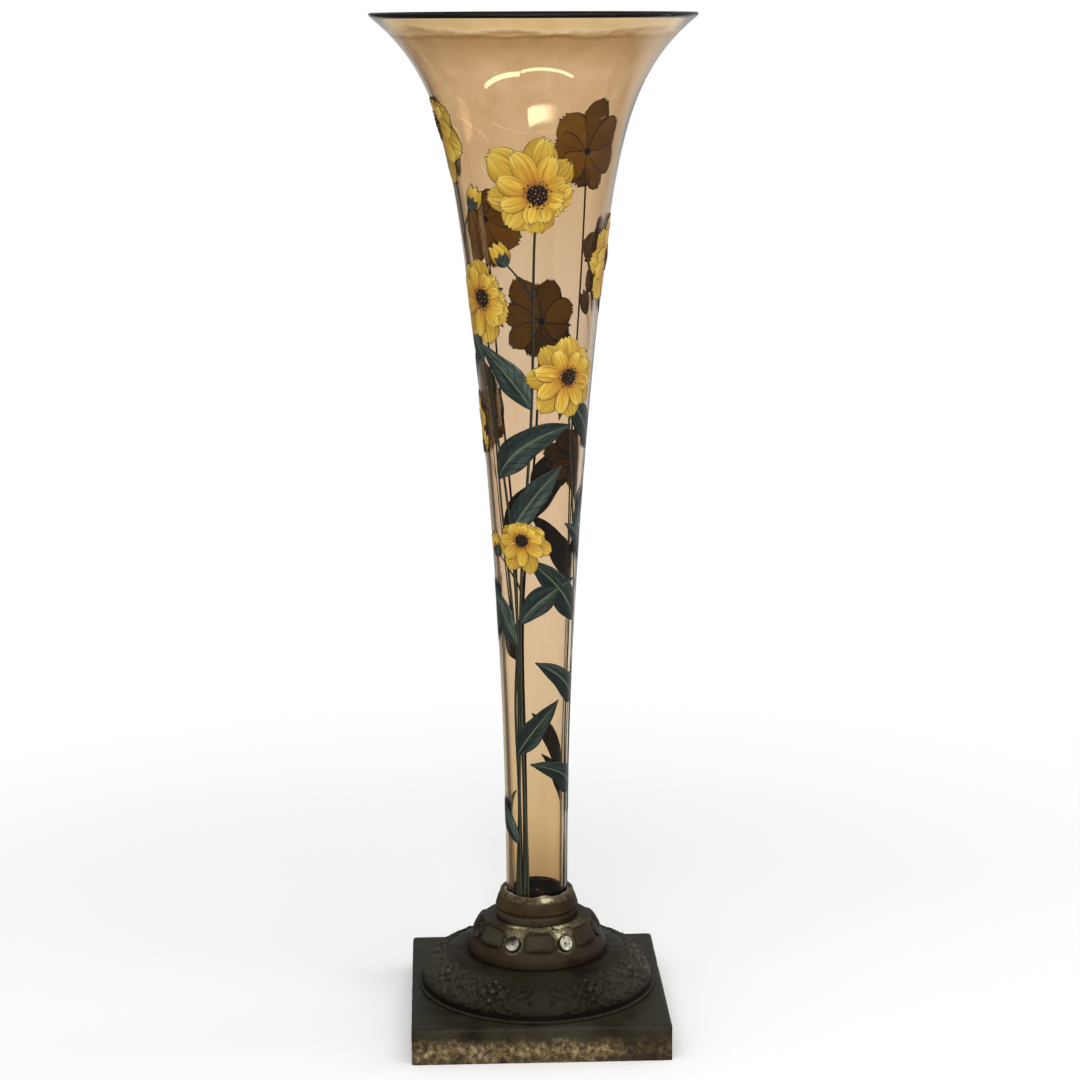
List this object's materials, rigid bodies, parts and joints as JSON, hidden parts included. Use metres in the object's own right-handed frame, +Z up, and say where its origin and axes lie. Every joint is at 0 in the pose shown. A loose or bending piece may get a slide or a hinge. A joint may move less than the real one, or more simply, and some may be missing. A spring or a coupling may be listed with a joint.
{
  "type": "trumpet vase",
  "caption": "Tall trumpet vase: a slim flared amber glass horn bedded in plaster in a dark bronze mount of collar, bossed bell, domed foot and square plinth, held by a bolt.",
  "frame": {"origin": "centre of the plinth's underside, on the surface that the vase stands on", "axes": "+Z up along the horn's axis, -Y towards the front, +X to the right; the plinth's sides lie along X and Y"},
  "size_m": [0.1856, 0.1856, 0.5981],
  "materials": {
    "amber_glass": "smoky amber blown glass, fire-polished",
    "plaster": "old cast plaster, rough",
    "dark_bronze": "dark brown patina, worn at the edges",
    "worn_bronze": "patina rubbed away to dull metal",
    "old_steel": "dull, oiled"
  },
  "bodies": {
    "root": {"glass_trumpet": "amber_glass", "plaster_bed": "plaster", "collar_cup": "dark_bronze", "bell_casting": "dark_bronze", "bead_studs": "worn_bronze", "dome_casting": "dark_bronze", "plinth": "dark_bronze", "tie_bolt": "old_steel", "bolt_washer": "old_steel", "bolt_nut": "old_steel", "dowel_pins": "old_steel"}
  },
  "joints": []
}
